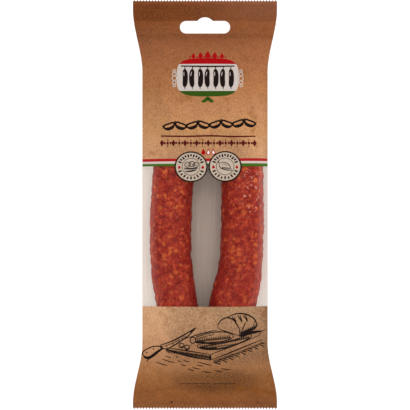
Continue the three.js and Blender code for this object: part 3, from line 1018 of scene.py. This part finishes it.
def drawGarland():
    # a string of linked sausages, each a bent oval drawn with a brush and shaded below
    strokes, (rx, ry) = [], garland["size"]
    steps = np.linspace(0, 1, garland["links"])[:, None]
    centres = np.array(garland["from"]) * (1 - steps) + np.array(garland["to"]) * steps
    turn = np.linspace(0, 2 * np.pi, 15)[:-1]
    flat = rx * np.sign(np.cos(turn)) * np.abs(np.cos(turn)) ** 0.7
    oval = np.stack([flat, ry * np.sin(turn) + 0.9 * np.cos(turn) ** 2 - 0.45], 1)
    shade = [(-2.7, -0.6), (-1.4, -1.2), (0, -1.4), (1.4, -1.2), (2.7, -0.6)]
    for k, centre in enumerate(centres):
        tilt = garland["tilt"] * (-1) ** k
        turned = np.array([[math.cos(tilt), math.sin(tilt)], [-math.sin(tilt), math.cos(tilt)]])
        strokes += [pen(oval @ turned + centre, garland["width"], 44, closed=True),
                    pen(np.array(shade) @ turned + centre, 1.3, 18)]
        for side in (-1, 1):
            for tip in ((4.1, 1.6), (4.4, 0.0)):
                knot = np.array([(side * 3.3, 0.4), (side * tip[0], tip[1])])
                strokes.append(pen(knot @ turned + centre, 0.7, 6, taper=0.8))
    addInk("garland_drawing", strokes, "dark", "under")


border = {
    "rule": [(-27.9, 43.2), (-12, 43.0), (4, 43.3), (18, 42.9), (31.9, 43.1)],
    "first": (-27.2, 38.75),
    "pitch": 3.66,
    "count": 17,
    "drops": [-1.0, 2.15, 5.3],
}


def drawBorder():
    # a rule over a row of lozenges, large and small by turns, with chevrons between them
    addInk("maroon_rule", [pen(border["rule"], 1.0, 60, taper=0.8)], "maroon", "under")
    marks = []
    t = np.linspace(-1, 1, 9)
    for k in range(border["count"]):
        x, y = border["first"][0] + border["pitch"] * k, border["first"][1]
        tall, wide = (1.2, 0.85) if k % 2 else (2.1, 1.2)
        line = np.stack([np.full(9, x), y + tall * t], 1)
        marks.append(ribbon(line, wide * (1 - np.abs(t)) + 0.08, 3))
        if k % 2:
            marks += dots([(x, y + 1.95), (x, y - 1.95)], 0.42)
        if k < border["count"] - 1:
            for foot in (1.2, 2.46):
                chevron = [(x + foot, y + 0.7), (x + 1.83, y), (x + foot, y - 0.7)]
                marks.append(pen(chevron, 0.6, 8, taper=0.7))
    addInk("maroon_border", marks, "maroon", "under")
    places = border["drops"]
    addInk("heat_drops", [drop(x, 33.3, 1.3, 3.9) for x in places], "red", "under")
    addInk("heat_drop_cores", [drop(x, 33.05, 0.72, 2.4) for x in places[1:]], "white", "over")


def moved(points, x, y):
    # points given from a middle, put where that middle is
    return np.asarray(points, float) + (x, y)


stamp = {
    "left": (-8.8, 23.8),
    "right": (12.7, 24.0),
    "radius": (10.0, 9.3),
    "innerRing": (5.6, 5.3),
    "gap": 0.42,  # angle that the plain strokes leave free at each side
    # both sketches are in mm from the stamp's middle, each stroke with its width and count
    "slices": [(-2.2, 1.4, 1.8, 1.6), (0.5, 1.8, 1.8, 1.6), (3.0, 1.2, 1.6, 1.5)],
    "fat": [(-2.7, 1.7), (-1.7, 0.9), (0.1, 2.3), (0.9, 1.3), (2.7, 1.5), (3.4, 0.8)],
    "board": [([(-4.6, -0.8), (0, -1.1), (4.6, -0.7)], 0.8, 14),
              ([(-3.9, -3.1), (-0.5, -2.8), (3.2, -2.1)], 1.0, 14)],
    "pepper": [([(-3.8, 2.0), (-1.2, 2.7), (1.9, 1.6), (4.3, -2.7)], 0.5, 20),
               ([(-3.8, 2.0), (-3.1, -0.7), (-0.3, -1.9), (4.3, -2.7)], 0.6, 20),
               ([(-3.6, 1.9), (-4.3, 2.9), (-3.6, 4.0)], 0.7, 8),
               ([(-2.2, 1.3), (-0.4, 1.5), (1.6, 0.3)], 0.35, 10)],
}


def drawStamps():
    # two discs, each with rings, plain strokes like a clock's, two drops and a sketch
    rx, ry = stamp["radius"]
    centres = [stamp["left"], stamp["right"]]
    addInk("stamp_discs", [disc(x, y, rx, ry, 33, 29) for x, y in centres], "stamp", "under")
    lines, reds = [], []
    for x, y in centres:
        lines += [ring(x, y, rx, ry, 0.85), ring(x, y, *stamp["innerRing"], 0.32)]
        for start, count in ((0, 11), (np.pi, 9)):
            turns = np.linspace(start + stamp["gap"], start + np.pi - stamp["gap"], count)
            for n, turn in enumerate(turns):
                inner = np.array([6.5, 6.1]) + 0.5 * (n % 2)
                way = np.array([math.cos(turn), math.sin(turn)])
                stroke = [inner * way, np.array([8.7, 8.0]) * way]
                lines.append(pen(moved(stroke, x, y), 1.0, 5, taper=0.9))
        reds += [drop(x - 7.4, y - 0.2, 0.9, 2.2), drop(x + 7.4, y - 0.2, 0.9, 2.2)]
    addInk("stamp_reds", reds, "red", "over")
    x, y = stamp["left"]
    lines += [ring(x + dx, y + dy, *radii, 0.45, 28) for dx, dy, *radii in stamp["slices"]]
    lines += dots(moved(stamp["fat"], x, y), 0.36, 5)
    lines += [pen(moved(points, x, y), width, count) for points, width, count in stamp["board"]]
    lines += hatch((x - 3.8, y - 1.2), (x + 3.6, y - 1.1), (-0.3, -0.9), 0.4, 10)
    x, y = stamp["right"]
    lines += [pen(moved(points, x, y), width, count) for points, width, count in stamp["pepper"]]
    lines += hatch((x - 2.0, y - 1.2), (x + 2.6, y - 1.9), (0.4, 1.1), 0.4, 9)
    addInk("stamp_lines", lines, "dark", "top")


drawing = {
    # a knife, a board with two sausages and slices on it, and a loaf behind: each stroke
    # is its points and its width in mm
    "handle": [
        ([(-39.9, -94.9), (-38.6, -92.9), (-35.2, -90.9), (-31.7, -89.8), (-28.3, -90.0),
          (-27.5, -90.9), (-30.0, -92.7), (-33.1, -95.1), (-35.5, -96.6), (-38.0, -96.6)], 0.6),
    ],
    "knife": [
        ([(-39.0, -96.8), (-36.1, -97.5), (-33.1, -95.8), (-29.7, -93.0), (-26.4, -90.9)], 1.5),
        ([(-28.3, -89.4), (-27.0, -90.9)], 1.3),
        ([(-28.3, -89.1), (-20.9, -86.2), (-13.0, -82.1), (-5.8, -77.7)], 0.8),
        ([(-5.8, -77.7), (-10.3, -82.6), (-15.9, -86.5), (-20.7, -89.5), (-24.1, -91.2),
          (-27.5, -90.8)], 0.75),
        ([(-26.3, -89.7), (-19.4, -87.0), (-11.8, -82.6)], 0.4),
        ([(-9.6, -80.6), (-7.6, -79.2), (-5.9, -77.8)], 1.1),
    ],
    "board": [
        ([(-23.8, -90.5), (-16.1, -91.5), (-6.3, -93.1), (3.3, -94.7)], 0.6),
        ([(-26.5, -90.9), (-17.3, -93.6), (-6.9, -96.4), (3.7, -98.2)], 0.9),
        ([(3.3, -94.7), (13.7, -90.7), (24.1, -86.9), (34.8, -82.8)], 0.55),
        ([(3.7, -98.2), (14.3, -94.0), (25.3, -89.8), (36.5, -85.7)], 0.65),
        ([(3.3, -94.7), (3.4, -96.4), (3.7, -98.2)], 0.9),
        ([(-12.3, -84.5), (-2.7, -81.6), (7.6, -79.0)], 0.6),
        ([(-5.7, -83.3), (2.2, -81.3), (8.6, -79.9)], 0.4),
        ([(28.3, -82.2), (32.0, -81.0), (35.1, -80.0)], 0.6),
        ([(35.1, -80.0), (35.1, -81.4), (34.8, -82.8)], 0.5),
    ],
    "sausages": [
        ([(-6.1, -84.0), (1.0, -81.5), (8.3, -80.3), (15.0, -81.0), (18.3, -82.9)], 0.6),
        ([(-5.7, -87.4), (2.8, -87.2), (10.7, -86.4), (16.2, -84.7), (18.3, -82.9)], 0.8),
        ([(-4.4, -88.3), (0.4, -87.7), (7.0, -87.9), (13.7, -86.7), (20.4, -84.8), (25.9, -82.9),
          (29.1, -81.9)], 0.55),
        ([(-4.4, -88.3), (-4.9, -89.6), (-2.4, -90.9), (2.8, -91.5), (10.1, -90.8), (18.6, -88.7),
          (25.3, -86.0), (29.4, -83.5), (29.1, -81.9)], 0.85),
        ([(-3.4, -90.2), (1.6, -90.9), (7.6, -90.4)], 1.2),
        ([(-6.6, -86.4), (-4.0, -86.9), (0.0, -86.7)], 1.1),
    ],
    "loaf": [
        ([(8.1, -78.1), (8.6, -75.1), (10.7, -72.6), (14.0, -71.4), (17.7, -72.6), (20.1, -75.7),
          (21.9, -79.6), (21.5, -82.8)], 0.7),
        ([(8.1, -78.1), (11.9, -79.6), (16.8, -81.3), (21.5, -82.8)], 0.6),
        ([(14.0, -71.4), (18.0, -69.4), (22.9, -68.8), (28.0, -70.2), (31.7, -73.2), (32.9, -76.6),
          (31.4, -79.0)], 0.75),
        ([(21.5, -82.9), (25.9, -81.1), (31.4, -79.0)], 0.9),
        ([(21.5, -83.3), (27.7, -81.3), (34.4, -80.1)], 1.3),
    ],
    "cuts": [(16.8, -70.6), (20.4, -69.9), (24.0, -69.8)],  # in the loaf's crust
    "rivets": [(-37.0, -93.9), (-32.7, -91.5)],
    "slices": [(-14.8, -88.7), (-11.4, -89.9)],
    "crumbs": [(10.8, -74.8), (13.5, -75.1), (16.7, -74.1), (12.5, -77.9), (16.8, -77.7),
               (19.5, -78.4), (17.4, -79.9)],
    # start, end, slant, width, count and how much shorter every other stroke is
    "shading": [
        ((-24.5, -91.0), (3.2, -95.6), (0.5, -2.6), 0.64, 36, 0.25),
        ((-22.0, -91.6), (3.2, -95.2), (-1.3, -2.3), 0.48, 27, 0.2),
        ((-36.0, -98.2), (-30.8, -94.4), (-1.2, -1.2), 0.55, 8, 0.3),
        ((-24.6, -88.6), (-12.4, -83.2), (0.4, -1.9), 0.45, 7, 0.5),
        ((-5.4, -87.0), (15.6, -84.8), (1.0, 2.6), 0.6, 30, 0.45),
        ((-5.6, -85.2), (5.0, -82.4), (0.9, 1.2), 0.5, 12, 0.4),
        ((-3.6, -90.8), (27.4, -84.8), (0.8, 2.1), 0.62, 46, 0.45),
        ((-1.0, -91.2), (20.0, -88.4), (0.6, 1.2), 0.6, 24, 0.3),
        ((22.2, -82.3), (31.6, -78.6), (0.9, 2.7), 0.6, 17, 0.4),
        ((23.0, -79.6), (24.6, -76.0), (1.4, 1.5), 0.5, 5, 0.3),
        ((30.4, -76.6), (31.4, -73.4), (1.1, 0.5), 0.5, 5, 0.3),
        ((22.6, -83.6), (36.0, -80.4), (2.0, 0.8), 0.6, 16, 0.3),
        ((5.6, -99.0), (35.6, -87.4), (4.4, -2.2), 0.72, 16, 0.4),
        ((6.4, -98.6), (34.6, -87.8), (2.2, -0.7), 0.5, 15, 0.2),
        ((5.2, -98.2), (16.0, -94.2), (2.6, -1.0), 0.5, 9, 0.3),
    ],
    "ground": [  # strokes from one place to another
        (-25.2, -95.7, -21.2, -96.6), (-18.8, -96.0, -16.5, -96.2), (-27.0, -97.9, -18.8, -100.0),
        (-31.3, -99.7, -23.7, -101.8), (-17.3, -98.5, -14.8, -99.2), (-15.5, -100.8, -11.9, -101.9),
        (-13.6, -98.2, -9.7, -99.4), (-4.7, -99.3, 4.7, -101.9), (-5.1, -101.5, -0.7, -102.1),
        (-10.8, -103.6, -6.6, -105.3), (-8.2, -102.9, -2.8, -104.1), (-1.7, -105.5, 4.1, -106.3),
        (6.3, -104.8, 10.8, -105.6), (10.0, -103.6, 16.3, -104.3), (5.0, -99.7, 9.6, -100.4),
    ],
    "boldness": 1.2,
}


def drawBoard():
    # every outline, shading row and dot of the drawing, and the dashed rule below it
    bold = drawing["boldness"]
    strokes = [pen(points, bold * width, 60, closed=True) for points, width in drawing["handle"]]
    outlines = drawing["knife"] + drawing["board"] + drawing["sausages"] + drawing["loaf"]
    for x, y in drawing["cuts"]:
        outlines += [([(x, y), (x + 1.5, y - 1.9), (x + 2.9, y - 4.4)], 0.65),
                     ([(x + 1.5, y + 0.1), (x + 2.4, y - 1.9), (x + 3.0, y - 4.4)], 0.5)]
    strokes += [pen(points, bold * width, 8 * len(points)) for points, width in outlines]
    strokes += dots(drawing["rivets"], 0.5)
    strokes += [ring(-7.7, -85.6, 1.75, 1.9, 0.65, 30), *dots([(-7.5, -85.4)], 0.35, 5)]
    for x, y in drawing["slices"]:
        strokes += [ring(x, y, 1.6, 1.15, 0.6, 26),
                    pen([(x - 1.5, y - 0.6), (x + 0.1, y - 1.5), (x + 1.8, y - 0.6)], 1.15, 10)]
    strokes += dots(drawing["crumbs"], 0.33, 5)
    for row in drawing["shading"]:
        strokes += hatch(*row)
    for x0, y0, x1, y1 in drawing["ground"]:
        middle = ((x0 + x1) / 2, (y0 + y1) / 2 - 0.15)
        strokes.append(pen([(x0, y0), middle, (x1, y1)], 0.6, 12))
    addInk("board_drawing", strokes, "dark", "under")
    # one dash is left out, and a dot stands below the rule
    starts = np.delete(np.arange(-15.6, 19.0, 1.35), 14)
    dashes = [pen([(x, -113.6), (x + 1.1, -113.6)], 0.42, 4, taper=0.8) for x in starts]
    dashes.append(disc(-21.3, -125.6, 0.55, 0.7, rows=7, columns=5))
    addInk("fine_dashes", dashes, "dark", "under")


def clipMetal():
    # two greys mixed by a noise that is drawn out along Y, like brushed metal
    material, wire = newMaterial("clip_aluminium")
    place = wire.stretched(wire.place(), (1, 0.1, 1))
    brush = wire.noise(place, 0.3 * mm, 2, 0.6)
    colour = wire.tint(paint(196, 198, 202), paint(222, 223, 226), brush)
    return principled(material, wire, {
        "Base Color": colour, "Metallic": 1.0, "Roughness": 0.28 + brush * 0.15})


stage = {
    "cameraHeight": 1.8,
    "viewWidth": 260.6 * mm,
    "sensor": 36.0,
    "skySide": 0.72,
    "skyTop": 1.4,
    "floorGlow": 0.85,
}


def makeStage():
    # a camera straight above, a glowing white floor, a white sky that is dimmer at its
    # sides than overhead, and one soft lamp
    scene = bpy.context.scene
    scene.view_settings.view_transform = "Standard"
    scene.view_settings.look = "None"
    lens = bpy.data.cameras.new("camera")
    lens.sensor_width = stage["sensor"]
    lens.lens = stage["sensor"] * (stage["cameraHeight"] - midHeight) / stage["viewWidth"]
    lens.clip_end = 20
    camera = bpy.data.objects.new("camera", lens)
    camera.location = (0, -0.3 * mm, stage["cameraHeight"])
    scene.collection.objects.link(camera)
    scene.camera = camera

    floorMesh = bpy.data.meshes.new("floor")
    corners = [(-3, -3, 0), (3, -3, 0), (3, 3, 0), (-3, 3, 0)]
    floorMesh.from_pydata(corners, [], [(0, 1, 2, 3)])
    material, wire = newMaterial("floor_white")
    shader = wire.node("BsdfPrincipled", {}, {
        "Base Color": (0.4, 0.4, 0.4, 1), "Roughness": 0.9, "Specular IOR Level": 0.0,
        "Emission Color": (1, 1, 1, 1), "Emission Strength": stage["floorGlow"]})
    floorMesh.materials.append(finishMaterial(material, shader))
    floor = bpy.data.objects.new("floor", floorMesh)
    scene.collection.objects.link(floor)

    world = bpy.data.worlds.new("studio")
    world.use_nodes = True
    world.node_tree.nodes.clear()
    wire = Wire(world.node_tree)
    direction = wire.node("TexCoord", out="Generated")
    parts = world.node_tree.nodes.new("ShaderNodeSeparateXYZ")
    world.node_tree.links.new(direction.socket, parts.inputs[0])
    height = Wire(world.node_tree, parts.outputs[2])
    side = 1 - height.ease(0.72, 0.93)
    light = side * (stage["skySide"] - stage["skyTop"]) + stage["skyTop"]
    sky = wire.node("Background", {}, {"Color": (1, 1, 1, 1), "Strength": light})
    plain = wire.node("Background", {}, {"Color": (1, 1, 1, 1), "Strength": 1.0})
    seen = wire.node("LightPath", out="Is Camera Ray")
    mixed = wire.node("MixShader", {}, {0: seen, 1: sky, 2: plain})
    output = world.node_tree.nodes.new("ShaderNodeOutputWorld")
    world.node_tree.links.new(mixed.socket, output.inputs["Surface"])
    scene.world = world

    softBox = bpy.data.lights.new("soft_box", "AREA")
    softBox.shape = "RECTANGLE"
    softBox.size, softBox.size_y = 0.9, 0.9
    softBox.energy = 2.0
    lamp = bpy.data.objects.new("soft_box", softBox)
    lamp.location = (0.7, 0.55, 0.9)
    lamp.rotation_euler = (-0.55, 0.62, 0)
    scene.collection.objects.link(lamp)


makeStage()
print("stage set")
kraftSide, paleSide, clearSide = kraftFilm(), paleFilm(), clearFilm()
makeSausage(sausageSkin())
print("sausage made")
makeFilm(kraftSide, paleSide, clearSide)
makeSeals(kraftSide)
print("film made")
drawPlaque()
drawGarland()
drawBorder()
drawStamps()
drawBoard()
print("inks laid")
metal = clipMetal()
for node in ("left_end_clip", "right_end_clip"):
    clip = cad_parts[node]
    clip.data.materials.clear()
    clip.data.materials.append(metal)
print("clips finished")
